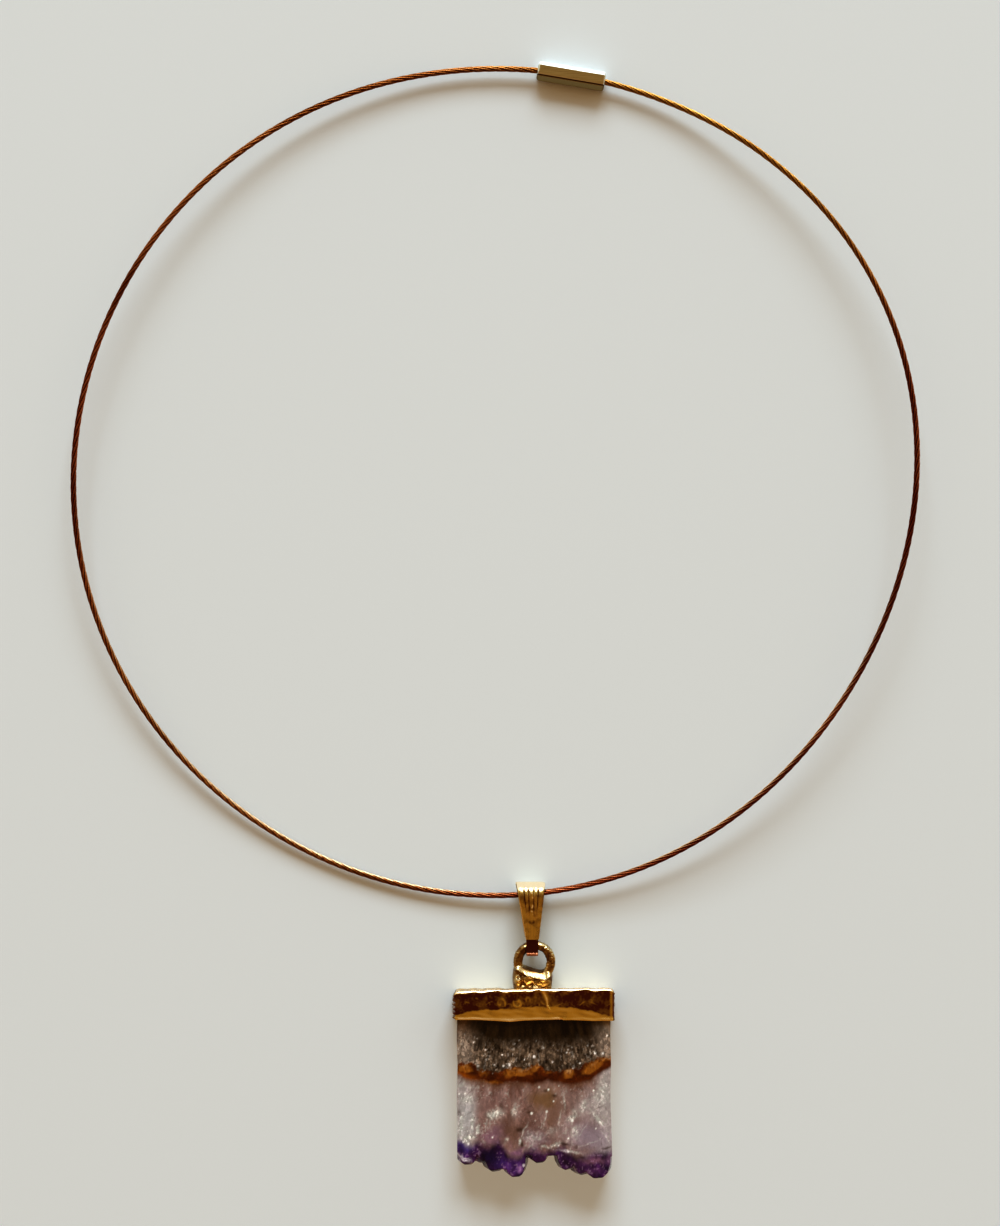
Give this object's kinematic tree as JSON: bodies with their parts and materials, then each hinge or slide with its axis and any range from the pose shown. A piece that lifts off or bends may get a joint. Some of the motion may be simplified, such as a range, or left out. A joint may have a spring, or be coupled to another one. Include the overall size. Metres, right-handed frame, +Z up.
{
  "type": "crystal slice pendant on a neck wire",
  "caption": "Rectangular slice of banded amethyst crystal in a gold cap with an eye and a fluted bail, lying on a round springy stranded neck wire with a barrel clasp.",
  "frame": {"origin": "middle of the slice's flat back, on the surface that it lies on", "axes": "+Z up from that surface, +Y from the pendant towards the clasp, +X to the right as seen from above with the pendant nearest"},
  "size_m": [0.1453, 0.1921, 0.0073],
  "materials": {
    "copper_wire": "bright stranded copper-coloured cable with dark grooves between the strands",
    "clasp_metal": "satin flats with worn pale edges",
    "gold_strip": "satin gold with polished flutes",
    "gold_cast": "lumpy bright gold with red-brown patina in the hollows",
    "amethyst": "polished face, smoky grey to rust band to milky quartz to violet points"
  },
  "bodies": {
    "root": {"neck_wire": "copper_wire", "clasp": "clasp_metal", "bail": "gold_strip", "cap": "gold_cast", "crystal_slice": "amethyst"}
  },
  "joints": []
}
